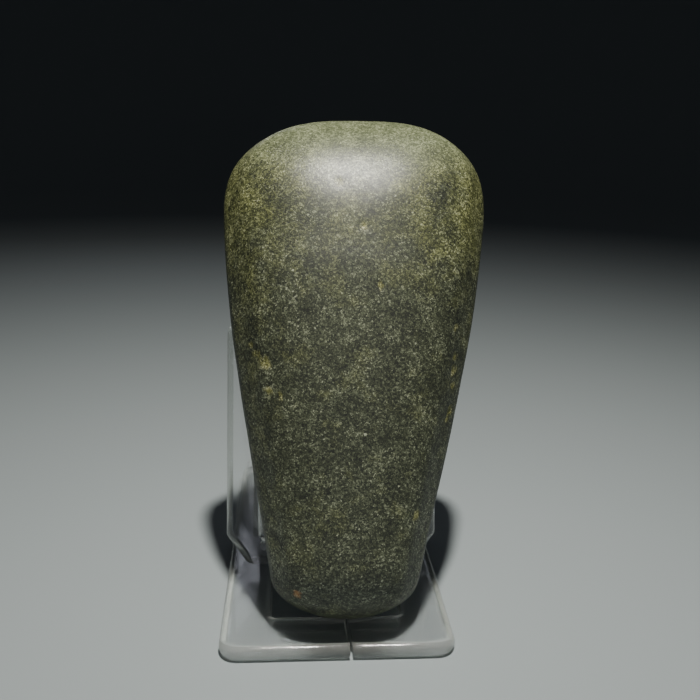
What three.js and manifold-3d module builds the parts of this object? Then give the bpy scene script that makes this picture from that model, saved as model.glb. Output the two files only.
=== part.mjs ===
// A polished stone axe head that stands on its butt and leans back on a clear acrylic display stand.
// Millimetres. +X points to the viewer's right, +Y away from the viewer and +Z up.
// The origin is on the underside of the stand's base plate, at its centre.

import * as THREE from 'three';
import Module from 'manifold-3d';
import { mergeVertices } from 'three/addons/utils/BufferGeometryUtils.js';

const wasm = await Module();
wasm.setup();

// Clearance between pieces that touch.
const contactGap = 0.3;

// Axe head, seen from the front: the butt is down and the broad cutting end is up.
const axeLength = 133;
const axeWidth = 70.2;
const axeButtWidth = 35;
const axeBitRoundingLength = 28;
const axeButtRoundingLength = 10;
const axeSideBow = 0.65;
// How much one corner of the bit stands higher than the other, for each unit of width.
const axeBitSkew = 0.045;

// Axe head, seen from the side.
const axeThickness = 43;
const axeButtThickness = 33;
const axeBitDomeLength = 54;
const axeButtDomeLength = 16.5;
const axeFaceBow = 1;

// Section of the axe head: 2 is an ellipse, and a larger power is squarer.
const sectionPower = 2.5;
// Four ground facets run along the edges between the faces and the sides.
const facetAngle = THREE.MathUtils.degToRad(36);
const facetCut = 0.028;
// How round the two ends are, from the front and from the side.
const bitOutlinePower = 2.6;
const bitDomePower = 2;
const buttOutlinePower = 2;
const buttDomePower = 2;

// Where the axe head stands, across the stand, and how far its butt dips into the opening.
const axeButtOffset = 1.7;
const axeButtDip = 0.5;
const axeSidewaysLean = THREE.MathUtils.degToRad(1.85);

// Stand: both plates have fully rounded edges.
const plateThickness = 4;
const plateEdgeRadius = 1.8;

// Base plate, with an opening whose front edge carries the butt.
const baseWidth = 60;
const baseDepth = 112;
const baseCornerRadius = 5;
const openingFrontMargin = 14.2;
const openingWidth = 33.8;
const openingDepth = 23.4;
const openingCornerRadius = 1.4;

// A split runs from the opening to the front edge of the base plate.
const splitWidth = 0.8;
const splitOffset = 3;
const splitSkew = THREE.MathUtils.degToRad(3);

// Back plate, with its window and its cut lower corners.
const backWidth = 61.5;
const backHeight = 72;
const backLean = THREE.MathUtils.degToRad(17);
const backCornerRadius = 5;
const backSetback = 2;
const backChamferHeight = 8.2;
const backChamferWidth = 6;
const windowSideMargin = 9.6;
const windowTopMargin = 12;
const windowBottomMargin = 5.2;
const windowCornerRadius = 3;

// How far a cut runs past a face, and how far the back plate runs on before its foot is cut flat.
const cutOverrun = 3;
const footOverrun = 8;

// Fineness of the solids.
const axeSides = 72;
const axeRings = 46;
const cornerSteps = 5;
const edgeSteps = 4;
const profileSteps = 240;
const solverSteps = 40;
const steepestLean = THREE.MathUtils.degToRad(45);
const leanStep = THREE.MathUtils.degToRad(0.5);

const stoneMaterial = new THREE.MeshStandardMaterial({ color: 0x4c4e40, roughness: 0.42, metalness: 0 });
const acrylicMaterial = new THREE.MeshStandardMaterial({
  color: 0xe4eced, roughness: 0.05, metalness: 0, transparent: true, opacity: 0.35,
});

// How much of its full size a rounded end keeps, at a distance into its rounding.
function roundOff(distance, length, power) {
  if (distance <= 0) {
    return 1;
  }
  return Math.max(0, 1 - (distance / length) ** power) ** (1 / power);
}

// Half a size along the axe head: it grows from the butt to the fullest place with a bow.
function taper(height, full, butt, bow, fullest) {
  const along = height / fullest;
  const growth = along + bow * along * along * (1 - along);
  return butt / 2 + ((full - butt) / 2) * growth;
}

function halfWidth(height) {
  const fullest = axeLength - axeBitRoundingLength;
  return taper(height, axeWidth, axeButtWidth, axeSideBow, fullest)
    * roundOff(height - fullest, axeBitRoundingLength, bitOutlinePower)
    * roundOff(axeButtRoundingLength - height, axeButtRoundingLength, buttOutlinePower);
}

function halfThickness(height) {
  const fullest = axeLength - axeBitDomeLength;
  return taper(height, axeThickness, axeButtThickness, axeFaceBow, fullest)
    * roundOff(height - fullest, axeBitDomeLength, bitDomePower)
    * roundOff(axeButtDomeLength - height, axeButtDomeLength, buttDomePower);
}

// A point of a section of the axe head: a superellipse whose four shoulders are ground to flat facets.
function sectionPoint(angle, height) {
  const wide = halfWidth(height);
  const thick = halfThickness(height);
  const cos = Math.cos(angle);
  const sin = Math.sin(angle);
  const point = new THREE.Vector2(
    wide * Math.sign(cos) * Math.abs(cos) ** (2 / sectionPower),
    thick * Math.sign(sin) * Math.abs(sin) ** (2 / sectionPower),
  );
  const dualPower = sectionPower / (sectionPower - 1);
  const reach = ((wide * Math.cos(facetAngle)) ** dualPower + (thick * Math.sin(facetAngle)) ** dualPower)
    ** (1 / dualPower);
  const facetDistance = reach * (1 - facetCut);
  for (const sideX of [-1, 1]) {
    for (const sideY of [-1, 1]) {
      const normal = new THREE.Vector2(sideX * Math.cos(facetAngle), sideY * Math.sin(facetAngle));
      const excess = point.dot(normal) - facetDistance;
      if (excess > 0) {
        point.addScaledVector(normal, -excess);
      }
    }
  }
  return point;
}

// The axe head in its own frame: butt tip at the origin, length along +Z.
function axeHeadGeometry() {
  const sphere = new THREE.SphereGeometry(1, axeSides, axeRings);
  sphere.rotateX(Math.PI / 2);
  const positions = sphere.attributes.position;
  for (let i = 0; i < positions.count; i += 1) {
    const height = (axeLength * (1 + positions.getZ(i))) / 2;
    const point = sectionPoint(Math.atan2(positions.getY(i), positions.getX(i)), height);
    const skewed = height + axeBitSkew * point.x * (height / axeLength) ** 2;
    positions.setXYZ(i, point.x, point.y, skewed);
  }
  return sphere;
}

// Distance from a point (y, z) to a plate's section, which is a rectangle with rounded corners.
function distanceToPlate(y, z, plate) {
  const dy = y - plate.y;
  const dz = z - plate.z;
  const along = Math.abs(dy * Math.sin(plate.lean) + dz * Math.cos(plate.lean))
    - plate.halfLength + plateEdgeRadius;
  const across = Math.abs(dy * Math.cos(plate.lean) - dz * Math.sin(plate.lean))
    - plateThickness / 2 + plateEdgeRadius;
  const outside = Math.hypot(Math.max(along, 0), Math.max(across, 0));
  return outside + Math.min(Math.max(along, across), 0) - plateEdgeRadius;
}

// The value between two ends at which a test turns from false to true, on the false side.
function bisect(falseEnd, trueEnd, test) {
  let low = falseEnd;
  let high = trueEnd;
  for (let i = 0; i < solverSteps; i += 1) {
    const middle = (low + high) / 2;
    if (test(middle)) {
      high = middle;
    } else {
      low = middle;
    }
  }
  return low;
}

// The middle section of the axe head as points (y, z), leaned, with its lowest point just inside the opening.
function leanedSection(lean) {
  const points = [];
  for (let i = 0; i <= profileSteps; i += 1) {
    const height = (axeLength * (1 - Math.cos((Math.PI * i) / profileSteps))) / 2;
    for (const y of [halfThickness(height), -halfThickness(height)]) {
      points.push({
        y: y * Math.cos(lean) + height * Math.sin(lean),
        z: height * Math.cos(lean) - y * Math.sin(lean),
      });
    }
  }
  const lowest = Math.min(...points.map((point) => point.z));
  const lift = plateThickness - axeButtDip - lowest;
  return { lift, points: points.map((point) => ({ y: point.y, z: point.z + lift })) };
}

function clearance(points, shift, plate) {
  return Math.min(...points.map((point) => distanceToPlate(point.y + shift, point.z, plate)));
}

const baseFront = -baseDepth / 2;
const openingFront = baseFront + openingFrontMargin;
const openingRear = openingFront + openingDepth;
// The foot line of the back plate's front face.
const backFoot = openingRear + backSetback;
const backFootHeight = plateThickness + contactGap;

const frontMarginSection = {
  y: baseFront + openingFrontMargin / 2,
  z: plateThickness / 2,
  lean: Math.PI / 2,
  halfLength: openingFrontMargin / 2,
};

// How far the leaned axe head is shifted forwards until its butt rests on the front edge of the opening.
function shiftToFrontMargin(points) {
  const tip = points.reduce((lowest, point) => (point.z < lowest.z ? point : lowest));
  return bisect(openingFront + axeLength, frontMarginSection.y - tip.y, (shift) => (
    clearance(points, shift, frontMarginSection) < contactGap
  ));
}

const backPlateSection = {
  y: backFoot + (backHeight / 2) * Math.sin(backLean) + (plateThickness / 2) * Math.cos(backLean),
  z: backFootHeight + (backHeight / 2) * Math.cos(backLean) - (plateThickness / 2) * Math.sin(backLean),
  lean: backLean,
  halfLength: backHeight / 2,
};

// The butt rests on the opening's front edge, and the axe head leans back onto the back plate.
function settleAxeHead() {
  const place = (lean) => {
    const { lift, points } = leanedSection(lean);
    const shift = shiftToFrontMargin(points);
    return { lift, shift, free: clearance(points, shift, backPlateSection) >= contactGap };
  };
  let lean = steepestLean;
  while (lean > 0 && !place(lean).free) {
    lean -= leanStep;
  }
  lean = bisect(lean, lean + leanStep, (trial) => !place(trial).free);
  return { lean, ...place(lean) };
}

// A rectangle with rounded corners, as a shape or as a hole's path.
function roundedRectangle(Kind, left, right, bottom, top, radius) {
  const outline = new Kind();
  outline.moveTo(left + radius, bottom);
  outline.lineTo(right - radius, bottom);
  outline.absarc(right - radius, bottom + radius, radius, -Math.PI / 2, 0);
  outline.lineTo(right, top - radius);
  outline.absarc(right - radius, top - radius, radius, 0, Math.PI / 2);
  outline.lineTo(left + radius, top);
  outline.absarc(left + radius, top - radius, radius, Math.PI / 2, Math.PI);
  outline.lineTo(left, bottom + radius);
  outline.absarc(left + radius, bottom + radius, radius, Math.PI, Math.PI * 1.5);
  return outline;
}

// A plate of the stand, lying in XY from z = 0 up, whose round edge reaches out to the given outline.
function plateGeometry(shape) {
  const geometry = new THREE.ExtrudeGeometry(shape, {
    depth: plateThickness - 2 * plateEdgeRadius,
    bevelThickness: plateEdgeRadius,
    bevelSize: plateEdgeRadius,
    bevelOffset: -plateEdgeRadius,
    bevelSegments: edgeSteps,
    curveSegments: cornerSteps,
  });
  geometry.translate(0, 0, plateEdgeRadius);
  return geometry;
}

function toManifold(geometry) {
  const bare = geometry.clone();
  bare.deleteAttribute('normal');
  bare.deleteAttribute('uv');
  const merged = mergeVertices(bare, 1e-4);
  return new wasm.Manifold(new wasm.Mesh({
    numProp: 3,
    vertProperties: new Float32Array(merged.attributes.position.array),
    triVerts: new Uint32Array(merged.index.array),
  }));
}

function fromManifold(solid) {
  const mesh = solid.getMesh();
  const geometry = new THREE.BufferGeometry();
  geometry.setAttribute('position', new THREE.BufferAttribute(new Float32Array(mesh.vertProperties), 3));
  geometry.setIndex(new THREE.BufferAttribute(new Uint32Array(mesh.triVerts), 1));
  geometry.computeVertexNormals();
  return geometry;
}

function basePlateGeometry() {
  const shape = roundedRectangle(
    THREE.Shape, -baseWidth / 2, baseWidth / 2, baseFront, baseFront + baseDepth, baseCornerRadius,
  );
  shape.holes.push(roundedRectangle(
    THREE.Path, -openingWidth / 2, openingWidth / 2, openingFront, openingRear, openingCornerRadius,
  ));
  const split = new THREE.BoxGeometry(
    splitWidth, openingFrontMargin + 2 * cutOverrun, plateThickness + 2 * cutOverrun,
  );
  split.rotateZ(splitSkew);
  split.translate(splitOffset, baseFront + openingFrontMargin / 2, plateThickness / 2);
  return fromManifold(toManifold(plateGeometry(shape)).subtract(toManifold(split)));
}

// The back plate in its own frame: foot line of its front face at the origin, height along +Z, then leaned.
function backPlateGeometry() {
  const half = backWidth / 2;
  const chamferSlope = backChamferWidth / backChamferHeight;
  const footHalf = half - backChamferWidth - chamferSlope * footOverrun;
  const shape = new THREE.Shape();
  shape.moveTo(-footHalf, -footOverrun);
  shape.lineTo(footHalf, -footOverrun);
  shape.lineTo(half, backChamferHeight);
  shape.lineTo(half, backHeight - backCornerRadius);
  const cornerX = half - backCornerRadius;
  const cornerY = backHeight - backCornerRadius;
  shape.absarc(cornerX, cornerY, backCornerRadius, 0, Math.PI / 2);
  shape.lineTo(-cornerX, backHeight);
  shape.absarc(-cornerX, cornerY, backCornerRadius, Math.PI / 2, Math.PI);
  shape.lineTo(-half, backChamferHeight);
  shape.closePath();
  shape.holes.push(roundedRectangle(
    THREE.Path, -half + windowSideMargin, half - windowSideMargin,
    windowBottomMargin, backHeight - windowTopMargin, windowCornerRadius,
  ));
  const plate = plateGeometry(shape);
  plate.rotateX(Math.PI / 2);
  plate.translate(0, plateThickness, 0);
  plate.rotateX(-backLean);
  const below = new THREE.BoxGeometry(2 * backWidth, 2 * backWidth, 2 * footOverrun);
  below.translate(0, 0, -footOverrun);
  return fromManifold(toManifold(plate).subtract(toManifold(below)));
}

function mesh(name, geometry, material) {
  const piece = new THREE.Mesh(geometry, material);
  piece.name = name;
  return piece;
}

const model = new THREE.Group();

model.add(mesh('stand_base_plate', basePlateGeometry(), acrylicMaterial));

const backPlate = mesh('stand_back_plate', backPlateGeometry(), acrylicMaterial);
backPlate.position.set(0, backFoot, backFootHeight);
model.add(backPlate);

const rest = settleAxeHead();
const axeHead = mesh('axe_head', axeHeadGeometry(), stoneMaterial);
axeHead.rotation.set(-rest.lean, axeSidewaysLean, 0);
axeHead.position.set(axeButtOffset, rest.shift, rest.lift);
model.add(axeHead);

export default model;
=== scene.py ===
# %% [markdown]
# # A polished stone axe head on a clear stand
#
# The object is an axe head of dark, fine-grained stone, ground to shape and polished.
# It stands on its narrow butt, over an opening in a clear acrylic base plate, on the opening's front edge.
# It leans back on a second clear plate, which has a window cut in it.
#
# The solids come from CAD and are loaded as a fixed frame, in metres.
# Blender adds what a plain solid lacks: the grain and wear of the stone, round acrylic edges, and light.

import math

import bmesh
import bpy
from mathutils import Matrix, Vector, noise


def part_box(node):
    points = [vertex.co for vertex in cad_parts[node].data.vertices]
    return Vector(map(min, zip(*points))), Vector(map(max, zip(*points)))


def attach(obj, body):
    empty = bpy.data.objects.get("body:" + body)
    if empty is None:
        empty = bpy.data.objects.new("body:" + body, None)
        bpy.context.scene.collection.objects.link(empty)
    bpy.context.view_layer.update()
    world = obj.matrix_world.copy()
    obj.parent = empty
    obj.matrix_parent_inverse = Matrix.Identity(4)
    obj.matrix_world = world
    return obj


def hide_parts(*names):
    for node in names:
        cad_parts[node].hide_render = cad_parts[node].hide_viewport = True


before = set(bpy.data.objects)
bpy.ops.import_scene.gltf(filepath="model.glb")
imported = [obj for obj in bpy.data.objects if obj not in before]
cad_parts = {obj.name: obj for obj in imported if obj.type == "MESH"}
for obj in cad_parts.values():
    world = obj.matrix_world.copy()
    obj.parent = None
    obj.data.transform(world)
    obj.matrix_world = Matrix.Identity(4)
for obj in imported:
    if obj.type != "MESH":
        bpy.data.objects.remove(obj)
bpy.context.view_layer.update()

# %% [markdown]
# ## Units, colours and nodes
#
# Blender works in metres here, and a maker thinks in millimetres.
# One constant turns the second into the first wherever a size is written.
#
# Colours are given as sRGB hex values, as on a screen, and the renderer adds light in linear values.
# One function turns the first into the second, so every colour in the file stays easy to read.
#
# A material is a graph of nodes, so one small function adds a node with its settings and its links.

# %% Small helpers
MM = 0.001


def linear(hex_colour):
    """An sRGB hex colour as linear red, green, blue and alpha."""
    channels = [int(hex_colour[i:i + 2], 16) / 255 for i in (1, 3, 5)]
    bright = [c / 12.92 if c <= 0.04045 else ((c + 0.055) / 1.055) ** 2.4 for c in channels]
    return (*bright, 1.0)


def add_node(tree, kind, inputs=(), **settings):
    """Adds a node. Each input is a value, or the output socket of another node that is linked to it."""
    node = tree.nodes.new(kind)
    for name, value in settings.items():
        setattr(node, name, value)
    for name, value in dict(inputs).items():
        if isinstance(value, bpy.types.NodeSocket):
            tree.links.new(value, node.inputs[name])
        else:
            node.inputs[name].default_value = value
    return node


def empty_material(name):
    """A material with a shader that is wired to the output, and nothing else yet."""
    material = bpy.data.materials.new(name)
    material.use_nodes = True
    tree = material.node_tree
    tree.nodes.clear()
    shader = add_node(tree, "ShaderNodeBsdfPrincipled")
    add_node(tree, "ShaderNodeOutputMaterial", {"Surface": shader.outputs["BSDF"]})
    return material, tree, shader


def finished_piece(name, bm, *materials):
    """Turns a bmesh into an object with its materials. A face's material index says which one it has."""
    mesh = bpy.data.meshes.new(name)
    bm.to_mesh(mesh)
    bm.free()
    for material in materials:
        mesh.materials.append(material)
    piece = bpy.data.objects.new(name, mesh)
    bpy.context.scene.collection.objects.link(piece)
    return piece


print("a middle grey on the screen, #808080, in linear light:", round(linear("#808080")[0], 3))

# %% [markdown]
# ## The stone
#
# The axe head is a tough greenstone, such as a fine diabase or greywacke.
# It was pecked to shape, ground on wet sandstone and polished, and then lay in the ground for ages.
# To the eye that gives a dark olive matrix full of tiny pale and black grains, with a satin shine.
# Where it weathered, a thin yellow-green skin covers the grains in patches, mostly round the broad end.
#
# A picture wrapped round the shape could give this, but it would stretch at the ends.
# Noise in three dimensions is used instead, so the grain runs through the piece, as in real stone.
#
# Noise and Voronoi scales count cells per metre, so a size in millimetres is turned into a scale.

# %% The material and its measure
def per_size(size_mm):
    """The scale of a pattern whose cells are this many millimetres wide."""
    return 1 / (size_mm * MM)


greenstone, rock, stone = empty_material("polished greenstone")
place = add_node(rock, "ShaderNodeTexCoord").outputs["Object"]
print("cells per metre in a pattern 1 mm wide:", round(per_size(1.0)))

# %% [markdown]
# ### One cell, one grain
#
# Voronoi noise splits space into cells, and each cell gets a random colour, so a cell serves as a grain.
# Its red channel says which mineral it is: dark near 0 and pale near 1.
#
# Plain cells have straight edges. The place where a cell is looked up is shaken a little, which frays them.
# The smallest real grains are finer than a pixel. They are drawn about as wide as one, so that they show.

# %% Ragged grains
SHAKE_SIZE = 0.5
SHAKE_REACH = 0.8
GRAIN_SIZE = 0.42

shake = add_node(
    rock, "ShaderNodeTexNoise", {"Vector": place, "Scale": per_size(SHAKE_SIZE), "Detail": 1.0},
)
shift = add_node(
    rock, "ShaderNodeVectorMath",
    {0: shake.outputs["Color"], 1: (0.5, 0.5, 0.5)}, operation="SUBTRACT",
)
small_shift = add_node(
    rock, "ShaderNodeVectorMath",
    {0: shift.outputs["Vector"], "Scale": SHAKE_REACH * MM}, operation="SCALE",
)
shaken = add_node(
    rock, "ShaderNodeVectorMath", {0: place, 1: small_shift.outputs["Vector"]}, operation="ADD",
)
grains = add_node(
    rock, "ShaderNodeTexVoronoi", {"Vector": shaken.outputs["Vector"], "Scale": per_size(GRAIN_SIZE)},
)
grain_kind = add_node(rock, "ShaderNodeSeparateColor", {"Color": grains.outputs["Color"]})
print("grain width, mm:", GRAIN_SIZE)

# %% [markdown]
# ### Clouds and fine grit
#
# Real grains are not mixed evenly. Pale and dark ones gather in soft clouds a few millimetres wide.
# Between them lies finer grit, which two grains of one kind don't share.
#
# Both are noise that pushes the mineral value up or down. Most grains are of middling colour, so the
# random value is squeezed towards the middle before it is pushed.

# %% Clouds and fine grit
CLOUD_SIZE = 5.0
CLOUD_PUSH = 0.14
GRIT_SIZE = 0.30
GRIT_PUSH = 0.30
DARKEST, PALEST = 0.14, 0.80

fine_grains = add_node(
    rock, "ShaderNodeTexNoise",
    {"Vector": place, "Scale": per_size(GRIT_SIZE), "Detail": 2.0, "Roughness": 0.7},
)
clouds = add_node(
    rock, "ShaderNodeTexNoise",
    {"Vector": place, "Scale": per_size(CLOUD_SIZE), "Detail": 4.0, "Roughness": 0.6},
)
cloud_push = add_node(
    rock, "ShaderNodeMapRange",
    {
        "Value": clouds.outputs["Fac"],
        "From Min": 0.3, "From Max": 0.7, "To Min": -CLOUD_PUSH, "To Max": CLOUD_PUSH,
    },
)
grit_push = add_node(
    rock, "ShaderNodeMapRange",
    {
        "Value": fine_grains.outputs["Fac"],
        "From Min": 0.3, "From Max": 0.7, "To Min": -GRIT_PUSH, "To Max": GRIT_PUSH,
    },
)
common_kinds = add_node(
    rock, "ShaderNodeMapRange",
    {
        "Value": grain_kind.outputs["Red"],
        "From Min": 0.0, "From Max": 1.0, "To Min": DARKEST, "To Max": PALEST,
    },
)
pushed = add_node(
    rock, "ShaderNodeMath",
    {0: common_kinds.outputs["Result"], 1: cloud_push.outputs["Result"]}, operation="ADD",
)
common_mineral = add_node(
    rock, "ShaderNodeMath", {0: pushed.outputs["Value"], 1: grit_push.outputs["Result"]}, operation="ADD",
)
print("cloud width, mm:", CLOUD_SIZE, "and grit width, mm:", GRIT_SIZE)

# %% [markdown]
# ### Pale flecks
#
# Here and there a single feldspar grain stands out as a fleck.
# A second, wider set of Voronoi cells has one possible fleck in each, round its middle point.
# The cell's random green channel says how large it is, and below a limit there is none.

# %% Pale flecks
FLECK_SPACING = 2.1
NO_FLECK_BELOW = 0.45
# The radius of the largest fleck and the width of its soft edge are shares of the spacing.
LARGEST_FLECK = 0.17
FLECK_EDGE = 0.05
FLECK_PALENESS = 0.55

flecks = add_node(
    rock, "ShaderNodeTexVoronoi", {"Vector": shaken.outputs["Vector"], "Scale": per_size(FLECK_SPACING)},
)
fleck_kind = add_node(rock, "ShaderNodeSeparateColor", {"Color": flecks.outputs["Color"]})
fleck_size = add_node(
    rock, "ShaderNodeMapRange",
    {
        "Value": fleck_kind.outputs["Green"],
        "From Min": NO_FLECK_BELOW, "From Max": 1.0, "To Min": 0.0, "To Max": LARGEST_FLECK,
    },
)
fleck_inside = add_node(
    rock, "ShaderNodeMath",
    {0: fleck_size.outputs["Result"], 1: flecks.outputs["Distance"]}, operation="SUBTRACT",
)
fleck = add_node(
    rock, "ShaderNodeMapRange",
    {
        "Value": fleck_inside.outputs["Value"],
        "From Min": 0.0, "From Max": FLECK_EDGE, "To Min": 0.0, "To Max": FLECK_PALENESS,
    },
)
mineral = add_node(
    rock, "ShaderNodeMath", {0: common_mineral.outputs["Value"], 1: fleck.outputs["Result"]}, operation="ADD",
)
print("widest fleck, mm:", round(2 * LARGEST_FLECK * FLECK_SPACING, 2))

# %% [markdown]
# ### From minerals to colours
#
# A colour ramp gives each mineral its colour: dark ones at the left end and pale feldspar at the right end.
# A second ramp with yellower colours makes the weathered skin, so both stay grainy in the same places.


# %% Bare stone and weathered skin
def set_steps(ramp, steps):
    """Gives a colour ramp its steps, each a place from 0 to 1 and a hex colour."""
    stops = ramp.color_ramp.elements
    while len(stops) < len(steps):
        stops.new(1.0)
    for stop, (at, colour) in zip(stops, steps):
        stop.position = at
        stop.color = linear(colour)


bare_stone = add_node(rock, "ShaderNodeValToRGB", {"Fac": mineral.outputs["Value"]})
set_steps(bare_stone, [
    (0.00, "#1A1C17"), (0.30, "#303327"), (0.52, "#434735"),
    (0.72, "#5B604B"), (0.90, "#83886F"), (1.00, "#B4B79E"),
])
weathered_skin = add_node(rock, "ShaderNodeValToRGB", {"Fac": mineral.outputs["Value"]})
set_steps(weathered_skin, [
    (0.00, "#2E301F"), (0.30, "#4C5031"), (0.55, "#6C6F45"), (0.80, "#999B66"), (1.00, "#C9CA9E"),
])
print("colours of the stone and of its skin:",
      [len(ramp.color_ramp.elements) for ramp in (bare_stone, weathered_skin)])

# %% [markdown]
# ### Where the skin lies
#
# The weathered skin is thick near the broad end and along the two long sides, and thin on the handled middle.
# One ramp along the height and one across the width give that, and noise breaks their edge into patches.

# %% Patches of skin
PATCH_SIZE = 8.0
# Heights above the floor and distances from the middle, in mm, and how much skin is added at the far end.
BIT_SKIN_FROM, BIT_SKIN_TO, BIT_SKIN = 84, 118, 0.22
SIDE_SKIN_FROM, SIDE_SKIN_TO, SIDE_SKIN = 10, 32, 0.12

axe_low, axe_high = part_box("axe_head")
parts = add_node(rock, "ShaderNodeSeparateXYZ", {"Vector": place})
towards_bit = add_node(
    rock, "ShaderNodeMapRange",
    {
        "Value": parts.outputs["Z"],
        "From Min": BIT_SKIN_FROM * MM, "From Max": BIT_SKIN_TO * MM, "To Min": 0.0, "To Max": BIT_SKIN,
    },
)
off_middle = add_node(
    rock, "ShaderNodeMath",
    {0: parts.outputs["X"], 1: (axe_low.x + axe_high.x) / 2}, operation="SUBTRACT",
)
from_middle = add_node(rock, "ShaderNodeMath", {0: off_middle.outputs["Value"]}, operation="ABSOLUTE")
towards_sides = add_node(
    rock, "ShaderNodeMapRange",
    {
        "Value": from_middle.outputs["Value"],
        "From Min": SIDE_SKIN_FROM * MM, "From Max": SIDE_SKIN_TO * MM, "To Min": 0.0, "To Max": SIDE_SKIN,
    },
)
patches = add_node(
    rock, "ShaderNodeTexNoise",
    {"Vector": place, "Scale": per_size(PATCH_SIZE), "Detail": 7.0, "Roughness": 0.68},
)
reach = add_node(
    rock, "ShaderNodeMath",
    {0: towards_bit.outputs["Result"], 1: towards_sides.outputs["Result"]}, operation="ADD",
)
ragged_reach = add_node(
    rock, "ShaderNodeMath", {0: reach.outputs["Value"], 1: patches.outputs["Fac"]}, operation="ADD",
)
skin_amount = add_node(
    rock, "ShaderNodeMapRange",
    {
        "Value": ragged_reach.outputs["Value"],
        "From Min": 0.55, "From Max": 0.86, "To Min": 0.0, "To Max": 0.85,
    },
)
# A Mix node has sockets for each kind of data. For colours, 0 is the factor, and 6 and 7 are the colours.
skinned = add_node(
    rock, "ShaderNodeMix",
    {0: skin_amount.outputs["Result"], 6: bare_stone.outputs["Color"], 7: weathered_skin.outputs["Color"]},
    data_type="RGBA",
)
print("width of the axe head, mm:", round((axe_high.x - axe_low.x) / MM, 1))

# %% [markdown]
# ### The painted highlight on the tip
#
# The very end of the bit is painted a paler grey-green. This is a painted highlight: it stands in for the
# top-lit dome and the bright spot near its tip.
# A third ramp gives its colour, and the height above the floor says where it shows.
# The same patches as before make its lower edge ragged.

# %% The painted highlight on the tip
# Heights above the floor, in mm, over which the paler colour of the painted highlight comes in.
PAINTED_HIGHLIGHT_FROM, PAINTED_HIGHLIGHT_TO = 114, 127

painted_highlight_stone = add_node(rock, "ShaderNodeValToRGB", {"Fac": mineral.outputs["Value"]})
set_steps(painted_highlight_stone, [(0.00, "#4A5038"), (0.50, "#717859"), (1.00, "#B0B592")])
towards_tip = add_node(
    rock, "ShaderNodeMapRange",
    {
        "Value": parts.outputs["Z"],
        "From Min": PAINTED_HIGHLIGHT_FROM * MM, "From Max": PAINTED_HIGHLIGHT_TO * MM, "To Min": -0.1, "To Max": 0.85,
    },
)
ragged_tip = add_node(
    rock, "ShaderNodeMath",
    {0: towards_tip.outputs["Result"], 1: patches.outputs["Fac"]}, operation="MULTIPLY",
)
painted_highlight_amount = add_node(
    rock, "ShaderNodeMapRange",
    {
        "Value": ragged_tip.outputs["Value"],
        "From Min": 0.0, "From Max": 0.36, "To Min": 0.0, "To Max": 0.9,
    },
)
# The paler colour of the painted highlight is mixed in here, near the tip.
painted_highlight = add_node(
    rock, "ShaderNodeMix",
    {0: painted_highlight_amount.outputs["Result"], 6: skinned.outputs[2], 7: painted_highlight_stone.outputs["Color"]},
    data_type="RGBA",
)
print("depth of the worn tip, mm:", round(axe_high.z / MM - PAINTED_HIGHLIGHT_FROM, 1))

# %% [markdown]
# ### Colour in the chips
#
# A few small chips broke off in use, and the stone in them has turned pale and yellowish.
# They are cut into the mesh further down, which also stores how deep each point lies in a chip.
# The material reads that stored attribute, so colour and shape always agree.
#
# Low on the butt, iron in the stone has rusted where it is chipped.

# %% Colour in the chips
CHIP = "chip"
RUST_FULL, RUST_ENDS = 18, 24

chip = add_node(rock, "ShaderNodeAttribute", attribute_name=CHIP, attribute_type="GEOMETRY")
ragged_chip = add_node(
    rock, "ShaderNodeMath",
    {0: chip.outputs["Fac"], 1: fine_grains.outputs["Fac"]}, operation="MULTIPLY",
)
chip_shows = add_node(
    rock, "ShaderNodeMapRange",
    {
        "Value": ragged_chip.outputs["Value"],
        "From Min": 0.10, "From Max": 0.40, "To Min": 0.0, "To Max": 0.95,
    },
)
fresh_stone = add_node(rock, "ShaderNodeValToRGB", {"Fac": mineral.outputs["Value"]})
set_steps(fresh_stone, [(0.00, "#4A4B28"), (0.45, "#85854A"), (0.75, "#BDBA84"), (1.00, "#E6E3C4")])
near_butt = add_node(
    rock, "ShaderNodeMapRange",
    {
        "Value": parts.outputs["Z"],
        "From Min": RUST_FULL * MM, "From Max": RUST_ENDS * MM, "To Min": 0.6, "To Max": 0.0,
    },
)
rusty = add_node(
    rock, "ShaderNodeMix",
    {0: near_butt.outputs["Result"], 6: fresh_stone.outputs["Color"], 7: linear("#B5652A")},
    data_type="RGBA",
)
chipped = add_node(
    rock, "ShaderNodeMix",
    {0: chip_shows.outputs["Result"], 6: painted_highlight.outputs[2], 7: rusty.outputs[2]},
    data_type="RGBA",
)
rock.links.new(chipped.outputs[2], stone.inputs["Base Color"])
print("nodes in the stone so far:", len(rock.nodes))

# %% [markdown]
# ### Polish
#
# Grinding left the hard pale grains a little proud and shinier than the matrix.
# So the same mineral value drives the roughness and a very low bump.
# The bit was polished more than the handled part, so the roughness falls towards the top.

# %% Shine and bump
POLISH_FROM, POLISH_TO = 80, 115
SATIN, POLISHED = 0.56, 0.36
GRAIN_HEIGHT = 0.06

polish = add_node(
    rock, "ShaderNodeMapRange",
    {
        "Value": parts.outputs["Z"],
        "From Min": POLISH_FROM * MM, "From Max": POLISH_TO * MM, "To Min": SATIN, "To Max": POLISHED,
    },
)
grain_shine = add_node(
    rock, "ShaderNodeMapRange",
    {
        "Value": mineral.outputs["Value"],
        "From Min": 0.0, "From Max": 1.0, "To Min": 0.06, "To Max": -0.08,
    },
)
shine = add_node(
    rock, "ShaderNodeMath",
    {0: polish.outputs["Result"], 1: grain_shine.outputs["Result"]}, operation="ADD",
)
grain_bump = add_node(
    rock, "ShaderNodeBump",
    {"Height": mineral.outputs["Value"], "Strength": 0.5, "Distance": GRAIN_HEIGHT * MM},
)
rock.links.new(shine.outputs["Value"], stone.inputs["Roughness"])
rock.links.new(grain_bump.outputs["Normal"], stone.inputs["Normal"])
stone.inputs["IOR"].default_value = 1.54
print("nodes in the finished stone:", len(rock.nodes))

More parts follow.
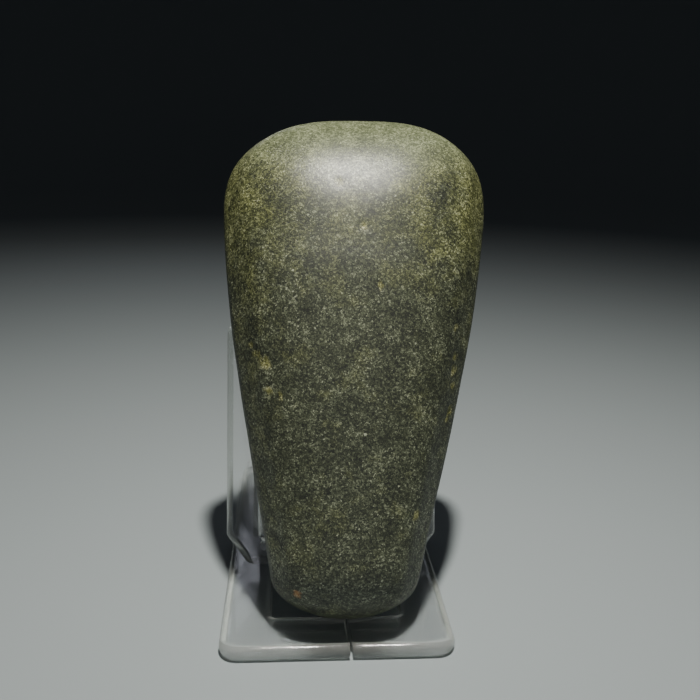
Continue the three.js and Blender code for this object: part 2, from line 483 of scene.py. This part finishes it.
# %% [markdown]
# ## The axe head
#
# The CAD solid has the true shape in flat facets of two to three millimetres, which would show in the shine.
# A copy of its mesh is refined. Its triangles are joined to four-sided faces, because those subdivide evenly.
# Each is then cut in sixteen, and all points are relaxed, which melts the facets into one surface.

# %% A fine copy of the axe head
CUTS_PER_EDGE = 3
RELAX_ROUNDS = 10

bm = bmesh.new()
bm.from_mesh(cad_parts["axe_head"].data)
bmesh.ops.remove_doubles(bm, verts=bm.verts, dist=0.01 * MM)
bmesh.ops.join_triangles(
    bm, faces=bm.faces, angle_face_threshold=math.radians(40), angle_shape_threshold=math.radians(70),
)
print("joined faces:", len(bm.faces))
print("of them with four sides:", sum(len(face.verts) == 4 for face in bm.faces))
bmesh.ops.subdivide_edges(bm, edges=bm.edges, cuts=CUTS_PER_EDGE, use_grid_fill=True)
for _ in range(RELAX_ROUNDS):
    bmesh.ops.smooth_vert(
        bm, verts=bm.verts, factor=0.5, use_axis_x=True, use_axis_y=True, use_axis_z=True,
    )
bm.normal_update()
print("fine faces:", len(bm.faces))

# %% [markdown]
# ### The blunt bit
#
# The worn bit is blunter than the plain dome of the solid, which shows in how high its highlight sits.
# Points near the tip are moved away from the middle plane of the axe head, the most just below the tip.
# The share fades out smoothly further down, so no ring shows where it ends.

# %% A blunter bit
LEAN = math.radians(20.4)
SIDEWAYS_LEAN = math.radians(1.85)
BLUNTER = 0.19
# Distances from the tip, in mm.
FULL_AT = 6.0
FADED_AT = 40.0

axis = Vector((math.sin(SIDEWAYS_LEAN), math.sin(LEAN), math.cos(LEAN))).normalized()
across = Vector((0, math.cos(LEAN), -math.sin(LEAN)))
tip_vert = max(bm.verts, key=lambda vert: vert.co.dot(axis))
tip = tip_vert.co.dot(axis) / MM
middle = tip_vert.co.dot(across) / MM
for vert in bm.verts:
    from_tip = tip - vert.co.dot(axis) / MM
    near_tip = min(1, from_tip / FULL_AT)
    fading = min(1, max(0, (FADED_AT - from_tip) / (FADED_AT - FULL_AT)))
    share = BLUNTER * near_tip * fading * fading * (3 - 2 * fading)
    vert.co += across * (vert.co.dot(across) / MM - middle) * share * MM
bm.normal_update()
print("tip of the axe head along its axis, mm:", round(tip, 1))

# %% [markdown]
# ### Traces of work and use
#
# Grinding by hand leaves broad, shallow waves, and a few pecking marks that it didn't reach.
# Noise moves each point a little along its normal for the waves, and only inwards for the marks.
#
# The chips are listed one by one, each by its place on a face, with its size and depth.
# Noise makes their edges ragged. A sculpting brush could do the same, but a list is easier to change later.

# %% The places of the chips
FRONT, BACK = -1, 1
# Side, x, z, radius and depth, in mm.
CHIPS = [
    (FRONT, -21.9, 75.0, 1.0, 0.3),
    (FRONT, -20.7, 73.4, 1.5, 0.45),
    (FRONT, -18.4, 71.9, 2.2, 0.5),
    (FRONT, -17.5, 65.4, 1.6, 0.35),
    (FRONT, -14.5, 64.6, 1.0, 0.2),
    (FRONT, 29.9, 72.3, 1.4, 0.35),
    (FRONT, 29.6, 68.6, 1.7, 0.4),
    (FRONT, 29.3, 64.9, 1.3, 0.35),
    (FRONT, 28.7, 58.6, 1.7, 0.45),
    (FRONT, 27.7, 56.8, 1.1, 0.35),
    (FRONT, 29.8, 79.7, 1.2, 0.35),
    (FRONT, 9.8, 91.0, 1.3, 0.3),
    (FRONT, 6.1, 104.4, 0.9, 0.25),
    (FRONT, -0.1, 114.5, 1.3, 0.2),
    (FRONT, -10.4, 17.0, 1.5, 0.3),
    (FRONT, 19.3, 35.7, 1.6, 0.25),
    (BACK, 14.0, 96.0, 2.0, 0.4),
    (BACK, -19.0, 84.0, 1.6, 0.35),
    (BACK, 24.0, 112.0, 2.2, 0.45),
    (BACK, 3.0, 66.0, 1.3, 0.3),
    (BACK, -7.0, 27.0, 1.8, 0.35),
]
print("chips in front and at the back:", [sum(chip[0] == side for chip in CHIPS) for side in (FRONT, BACK)])

# %% Waves, pecking marks and chips
WAVE_SIZE = 15.0
WAVE_DEPTH = 0.12
PECK_SIZE = 3.2
PECK_DEPTH = 0.16
PECK_RARITY = 0.35
PECK_SHIFT = Vector((7, 3, 5))
# How ragged the edge of a chip is, how steep its walls are, and how far it may reach past its radius.
CHIP_RAGGED = 0.45
CHIP_RAGGED_SIZE = 1.1
CHIP_STEEPNESS = 1.25
CHIP_REACH = 1.5
# A chip also covers points that face a little away from its side, on the round edge.
FACING_LIMIT = -0.2

chip_layer = bm.verts.layers.float.new(CHIP)
for vert in bm.verts:
    spot = vert.co / MM
    wave = WAVE_DEPTH * noise.noise(spot / WAVE_SIZE)
    peck = PECK_DEPTH * max(0, noise.noise(spot / PECK_SIZE + PECK_SHIFT) - PECK_RARITY)
    ragged = CHIP_RAGGED * noise.noise(spot / CHIP_RAGGED_SIZE)
    depth = 0
    for side, x, z, radius, deepest in CHIPS:
        away = math.hypot(spot.x - x, spot.z - z) / radius
        if vert.normal.y * side > FACING_LIMIT and away < CHIP_REACH:
            inside = min(1, max(0, CHIP_STEEPNESS * (1 - away - ragged)))
            vert[chip_layer] = max(vert[chip_layer], inside)
            depth = max(depth, deepest * inside)
    vert.co += vert.normal * (wave - peck - depth) * MM
print("points in chips:", sum(vert[chip_layer] > 0 for vert in bm.verts), "of", len(bm.verts))

for face in bm.faces:
    face.smooth = True
axe_head = finished_piece("polished_axe_head", bm, greenstone)
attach(axe_head, "root")
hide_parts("axe_head")

# %% [markdown]
# ## The clear acrylic
#
# Both plates are cut from clear cast acrylic sheet, and their edges are flame-polished, so they are round.
# Acrylic has an IOR of 1.49. Light goes straight through the flat faces and bends in the round edges.
# That makes the bright and dark lines that let the eye see the plate at all.
#
# Two materials share the work. The flat faces are fully transmitting. A constant alpha also lets some light
# pass straight on, because a renderer finds few of the paths through a clear sheet to a small lamp.
# Handling has left faint scuffs on them, which are a little rougher than the polished face.

# %% The flat faces
ACRYLIC_IOR = 1.49
SCUFF_SIZE = 2.5
POLISHED_FACE, SCUFFED_FACE = 0.01, 0.22

clear_acrylic, pane, acrylic = empty_material("clear cast acrylic")
acrylic.inputs["Base Color"].default_value = linear("#FFFFFF")
acrylic.inputs["IOR"].default_value = ACRYLIC_IOR
acrylic.inputs["Transmission Weight"].default_value = 1.0
acrylic.inputs["Alpha"].default_value = 0.68

pane_place = add_node(pane, "ShaderNodeTexCoord").outputs["Object"]
scuffs = add_node(
    pane, "ShaderNodeTexNoise",
    {"Vector": pane_place, "Scale": per_size(SCUFF_SIZE), "Detail": 6.0, "Roughness": 0.75},
)
scuffed = add_node(
    pane, "ShaderNodeMapRange",
    {
        "Value": scuffs.outputs["Fac"],
        "From Min": 0.56, "From Max": 0.72, "To Min": POLISHED_FACE, "To Max": SCUFFED_FACE,
    },
)
pane.links.new(scuffed.outputs["Result"], acrylic.inputs["Roughness"])
print("nodes in the flat faces' material:", len(pane.nodes))

# %% [markdown]
# ### The flame-polished edges
#
# A gas flame melts the sawn edge smooth, but by hand it leaves it wavy and a little milky.
# So the rounded edges and the walls have their own material: slightly less clear, and rippled by a low bump.

# %% The edges
RIPPLE_SIZE = 1.6
RIPPLE_HEIGHT = 0.14

edge_acrylic, rim, rim_shader = empty_material("flame-polished acrylic edge")
rim_shader.inputs["Base Color"].default_value = linear("#FBFDF8")
rim_shader.inputs["Roughness"].default_value = 0.1
rim_shader.inputs["IOR"].default_value = ACRYLIC_IOR
rim_shader.inputs["Transmission Weight"].default_value = 0.85
rim_place = add_node(rim, "ShaderNodeTexCoord").outputs["Object"]
ripples = add_node(
    rim, "ShaderNodeTexNoise",
    {"Vector": rim_place, "Scale": per_size(RIPPLE_SIZE), "Detail": 4.0, "Roughness": 0.65},
)
ripple_bump = add_node(
    rim, "ShaderNodeBump",
    {"Height": ripples.outputs["Fac"], "Strength": 0.8, "Distance": RIPPLE_HEIGHT * MM},
)
rim.links.new(ripple_bump.outputs["Normal"], rim_shader.inputs["Normal"])
print("nodes in the edges' material:", len(rim.nodes))

# %% [markdown]
# ### A plate with an opening
#
# A flat face can't have a hole, so a plate starts as two closed loops of edges, the outline and the opening.
# Each loop is a rectangle whose corner points are bevelled, and bridging the loops fills what lies between.
# A narrow inset along both loops keeps the later rounding even, and an extrusion gives the thickness.
#
# A boolean cut would work too, but it leaves a tangle of edges round the opening that doesn't bevel well.

# %% Helpers for the plates
SHEET = 4.0
EDGE_RADIUS = 1.8
INSET = 2.1
ROUND_STEPS = 8


def rounded_loop(bm, left, right, near, far, radius):
    """Adds a rectangle with rounded corners, in mm, as one flat face."""
    corners = bmesh.ops.create_grid(bm, x_segments=1, y_segments=1, size=0.5)["verts"]
    bmesh.ops.scale(bm, vec=(right - left, far - near, 1), verts=corners)
    bmesh.ops.translate(bm, vec=((left + right) / 2, (near + far) / 2, 0), verts=corners)
    bmesh.ops.bevel(
        bm, geom=corners, offset=radius, offset_type="OFFSET", segments=ROUND_STEPS,
        profile=0.5, affect="VERTICES", material=-1,
    )


def bridge_outlines(bm):
    """Turns an outline face and an opening face into a ring of faces between them."""
    bmesh.ops.delete(bm, geom=bm.faces[:], context="FACES_ONLY")
    bmesh.ops.bridge_loops(bm, edges=bm.edges[:])


def thicken(bm):
    """Gives a flat ring the thickness of the sheet, from z = 0 up."""
    bmesh.ops.inset_region(
        bm, faces=bm.faces[:], thickness=INSET, use_even_offset=True, use_boundary=True,
    )
    raised = bmesh.ops.extrude_face_region(bm, geom=bm.faces[:])["geom"]
    raised_points = [part for part in raised if isinstance(part, bmesh.types.BMVert)]
    bmesh.ops.translate(bm, vec=(0, 0, SHEET), verts=raised_points)
    bmesh.ops.recalc_face_normals(bm, faces=bm.faces[:])


# %% [markdown]
# ### Rounding and cutting a plate
#
# An edge to round lies between a flat side and a wall, which their normals tell.
# After the rounding, every face that isn't flat is shaded smooth and gets the second material, the edge's.
#
# One more helper cuts a plate along a plane and drops what lies beyond.


# %% Rounding and cutting
def round_edges(bm, keep_sharp):
    """Rounds all edges between a flat side and a wall, except those whose wall is to stay sharp."""
    rims = []
    for edge in bm.edges:
        flat = [face for face in edge.link_faces if abs(face.normal.z) > 0.9]
        walls = [face for face in edge.link_faces if abs(face.normal.z) < 0.1]
        if len(flat) == 1 and len(walls) == 1 and not keep_sharp(walls[0]):
            rims.append(edge)
    bmesh.ops.bevel(
        bm, geom=rims, offset=EDGE_RADIUS, offset_type="OFFSET", segments=ROUND_STEPS,
        profile=0.5, affect="EDGES", material=-1,
    )
    for face in bm.faces:
        face.smooth = abs(face.normal.z) < 0.999
        face.material_index = int(face.smooth)


def cut_off(bm, plane_place, outwards):
    """Cuts a mesh along a plane and deletes what lies outwards of it. The edges of the cut are returned."""
    cut = bmesh.ops.bisect_plane(
        bm, geom=bm.verts[:] + bm.edges[:] + bm.faces[:], dist=0.001, clear_outer=True,
        plane_co=plane_place, plane_no=outwards,
    )
    return [part for part in cut["geom_cut"] if isinstance(part, bmesh.types.BMEdge)]


# %% [markdown]
# ### The base plate
#
# The base plate has an opening near its front, and a split that runs from the opening to the front edge.
# Two cuts through the front margin and one deleted face make the split. Its walls stay sharp.

# %% The flat base plate
BASE_CORNER = 5.0
OPENING_FRONT_MARGIN = 14.2
OPENING_REAR_MARGIN = 2.0
OPENING_HALF_WIDTH = 16.9
OPENING_CORNER = 1.4

base_low, base_high = (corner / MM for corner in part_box("stand_base_plate"))
back_low, back_high = (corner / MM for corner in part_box("stand_back_plate"))
opening_front = base_low.y + OPENING_FRONT_MARGIN
opening_rear = back_low.y - OPENING_REAR_MARGIN

bm = bmesh.new()
rounded_loop(bm, base_low.x, base_high.x, base_low.y, base_high.y, BASE_CORNER)
rounded_loop(
    bm, -OPENING_HALF_WIDTH, OPENING_HALF_WIDTH, opening_front, opening_rear, OPENING_CORNER,
)
bridge_outlines(bm)
print("opening, mm:", round(2 * OPENING_HALF_WIDTH, 1), "by", round(opening_rear - opening_front, 1))

# %% The split and the thickness
SPLIT_X = 3.0
SPLIT_WIDTH = 0.8
SPLIT_SKEW = math.radians(3)
# The front margin is one broad face. The faces round the corners are smaller than this, in square mm.
SMALL_FACE = 50

split_middle = Vector((SPLIT_X, (base_low.y + opening_front) / 2, 0))
split_normal = Vector((math.cos(SPLIT_SKEW), math.sin(SPLIT_SKEW), 0))


def near_split(face):
    """Whether a face lies in the split or is one of its walls."""
    centre = face.calc_center_median()
    return abs((centre - split_middle).dot(split_normal)) < SPLIT_WIDTH and centre.y < opening_front


for side in (-1, 1):
    margin = [
        face for face in bm.faces
        if face.calc_center_median().y < opening_front and face.calc_area() > SMALL_FACE
    ]
    around = {part for face in margin for part in (face, *face.edges, *face.verts)}
    bmesh.ops.bisect_plane(
        bm, geom=list(around), dist=0.001,
        plane_co=split_middle + split_normal * side * SPLIT_WIDTH / 2, plane_no=split_normal,
    )
bmesh.ops.delete(bm, geom=[face for face in bm.faces if near_split(face)], context="FACES")
thicken(bm)
round_edges(bm, keep_sharp=near_split)
bmesh.ops.scale(bm, vec=(MM, MM, MM), verts=bm.verts)
print("base plate closed:", all(edge.is_manifold for edge in bm.edges))
base_plate = finished_piece("clear_base_plate", bm, clear_acrylic, edge_acrylic)
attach(base_plate, "root")
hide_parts("stand_base_plate")

# %% [markdown]
# ### The back plate
#
# The back plate is made flat in the same way, a little too long, and is then tipped up and leaned back.
# Last, one level cut makes the foot that stands on the base plate.

# %% The flat back plate
BACK_HEIGHT = 72.0
BACK_CORNER = 5.0
FOOT_OVERRUN = 8.0
# The lower corners are rounded too, and this spare length is cut off with them.
SPARE_LENGTH = 6
CHAMFER_HEIGHT = 8.2
CHAMFER_WIDTH = 6.0
WINDOW_SIDE = 9.6
WINDOW_TOP = 12.0
WINDOW_BOTTOM = 5.2
WINDOW_CORNER = 3.0

bm = bmesh.new()
rounded_loop(bm, back_low.x, back_high.x, -FOOT_OVERRUN - SPARE_LENGTH, BACK_HEIGHT, BACK_CORNER)
for side in (-1, 1):
    cut_off(
        bm, (side * back_high.x, CHAMFER_HEIGHT, 0), outwards=(side * CHAMFER_HEIGHT, -CHAMFER_WIDTH, 0),
    )
cut_off(bm, (0, -FOOT_OVERRUN, 0), outwards=(0, -1, 0))
rounded_loop(
    bm, back_low.x + WINDOW_SIDE, back_high.x - WINDOW_SIDE,
    WINDOW_BOTTOM, BACK_HEIGHT - WINDOW_TOP, WINDOW_CORNER,
)
bridge_outlines(bm)
thicken(bm)
round_edges(bm, keep_sharp=lambda wall: False)
print("faces of the flat back plate:", len(bm.faces))

# %% The back plate stands up
BACK_LEAN = math.radians(17)

stand_up = Matrix.Rotation(math.radians(90) - BACK_LEAN, 4, "X")
front_face_back = Matrix.Translation((0, 0, -SHEET))
bmesh.ops.transform(bm, matrix=stand_up @ front_face_back, verts=bm.verts)
bmesh.ops.translate(bm, vec=(0, back_low.y, back_low.z), verts=bm.verts)
foot_edges = cut_off(bm, (0, 0, back_low.z), outwards=(0, 0, -1))
bmesh.ops.contextual_create(bm, geom=foot_edges)
bmesh.ops.recalc_face_normals(bm, faces=bm.faces[:])
bmesh.ops.scale(bm, vec=(MM, MM, MM), verts=bm.verts)
print("back plate closed:", all(edge.is_manifold for edge in bm.edges))
back_plate = finished_piece("clear_back_plate", bm, clear_acrylic, edge_acrylic)
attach(back_plate, "root")
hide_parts("stand_back_plate")

# %% [markdown]
# ## The floor
#
# The object stands on a plain pale floor. A flat plane would end in a hard horizon behind it.
# So the floor is spun from a profile that curves up far away, like the paper sweep of a photo studio.
# Matt paper has almost no shine, which keeps the eye on the stone.

# %% Floor
# The gap under the base plate is in mm, and the sweep is in metres.
FLOOR_GAP = 0.1
SWEEP_START = 1.2
SWEEP_RADIUS = 0.8
SWEEP_STEPS = 12
TURN_STEPS = 96

floor_matt, _, paper = empty_material("pale matt paper")
paper.inputs["Base Color"].default_value = linear("#A4ACAF")
paper.inputs["Roughness"].default_value = 0.9

bm = bmesh.new()
profile = [bm.verts.new((0, 0, 0)), bm.verts.new((SWEEP_START, 0, 0))]
for step in range(1, SWEEP_STEPS + 1):
    turn = math.radians(90) * step / SWEEP_STEPS
    profile.append(bm.verts.new((
        SWEEP_START + SWEEP_RADIUS * math.sin(turn), 0, SWEEP_RADIUS * (1 - math.cos(turn)),
    )))
lines = [bm.edges.new(pair) for pair in zip(profile, profile[1:])]
bmesh.ops.spin(
    bm, geom=profile + lines, cent=(0, 0, 0), axis=(0, 0, 1),
    angle=2 * math.pi, steps=TURN_STEPS, use_merge=True,
)
bmesh.ops.remove_doubles(bm, verts=bm.verts, dist=0.0001)
bmesh.ops.recalc_face_normals(bm, faces=bm.faces[:])
bmesh.ops.translate(bm, vec=(0, 0, -FLOOR_GAP * MM), verts=bm.verts)
for face in bm.faces:
    face.smooth = True
print("faces of the floor:", len(bm.faces))
floor = finished_piece("floor", bm, floor_matt)

# %% [markdown]
# ## Light
#
# One small lamp hangs above and a little in front. It gives the dome its highlight and the floor a dark
# shadow with a clear edge, because a small lamp makes a sharp shadow.
#
# A long thin strip above draws a bright line along the round acrylic edges, which mirror it.
# A weak panel near the viewer and a weak lamp at the rear keep the dark stone readable from both sides.


# %% Lamps
def add_lamp(name, place_mm, aim_mm, size_mm, watts, colour, spread=180):
    """A soft oval lamp of a given width and depth, aimed at a place. Its beam spreads by some degrees."""
    light = bpy.data.lights.new(name, "AREA")
    light.shape = "ELLIPSE"
    light.size, light.size_y = (length * MM for length in size_mm)
    light.energy = watts
    light.spread = math.radians(spread)
    light.color = linear(colour)[:3]
    lamp = bpy.data.objects.new(name, light)
    lamp.location = Vector(place_mm) * MM
    lamp.rotation_euler = (Vector(aim_mm) - Vector(place_mm)).to_track_quat("-Z", "Y").to_euler()
    bpy.context.scene.collection.objects.link(lamp)


add_lamp("lamp above", (22, -140, 600), (5, -40, 40), (30, 30), 1.22, "#FFFDF4", spread=100)
add_lamp("long strip", (0, 40, 520), (0, -40, 40), (700, 3), 0.05, "#FFFFFF")
add_lamp("front panel", (50, -620, 126), (0, -20, 60), (80, 80), 0.12, "#DCE8FF")
add_lamp("rear lamp", (-120, 520, 330), (0, 0, 60), (150, 150), 0.06, "#EEF2FF")
print("all lamps together, watts:", round(sum(light.energy for light in bpy.data.lights), 2))

# %% [markdown]
# ### The light of the room
#
# In any room a little light comes from all sides. The world's background gives that, and it is kept weak,
# so that the shadow stays dark.

# %% World
world = bpy.data.worlds.new("soft room")
bpy.context.scene.world = world
world.use_nodes = True
room_light = world.node_tree.nodes["Background"]
room_light.inputs["Color"].default_value = linear("#DDE2E8")
room_light.inputs["Strength"].default_value = 0.03
print("light of the room:", round(room_light.inputs["Strength"].default_value, 3))

# %% [markdown]
# ## Camera
#
# The camera looks slightly down on the object from the front, from about the height of its tip.
# Its place, turn and focal length were worked out from the edges of the base plate, whose shape is known.

# %% Camera
IMAGE_WIDTH = 700
FOCAL_PIXELS = 820
CAMERA_PLACE = Vector((-11.2, -230.8, 130.6))
YAW, PITCH, ROLL = (math.radians(angle) for angle in (-4.07, 15.92, 1.20))

camera_data = bpy.data.cameras.new("camera")
camera_data.sensor_width = 36
camera_data.lens = camera_data.sensor_width * FOCAL_PIXELS / IMAGE_WIDTH
camera = bpy.data.objects.new("camera", camera_data)
aim = (
    Matrix.Rotation(YAW, 4, "Z")
    @ Matrix.Rotation(math.radians(90) - PITCH, 4, "X")
    @ Matrix.Rotation(ROLL, 4, "Z")
)
camera.matrix_world = Matrix.Translation(CAMERA_PLACE * MM) @ aim
camera_data.clip_start = 10 * MM
camera_data.clip_end = 20
bpy.context.scene.collection.objects.link(camera)
bpy.context.scene.camera = camera
print("lens, mm:", round(camera_data.lens, 1))
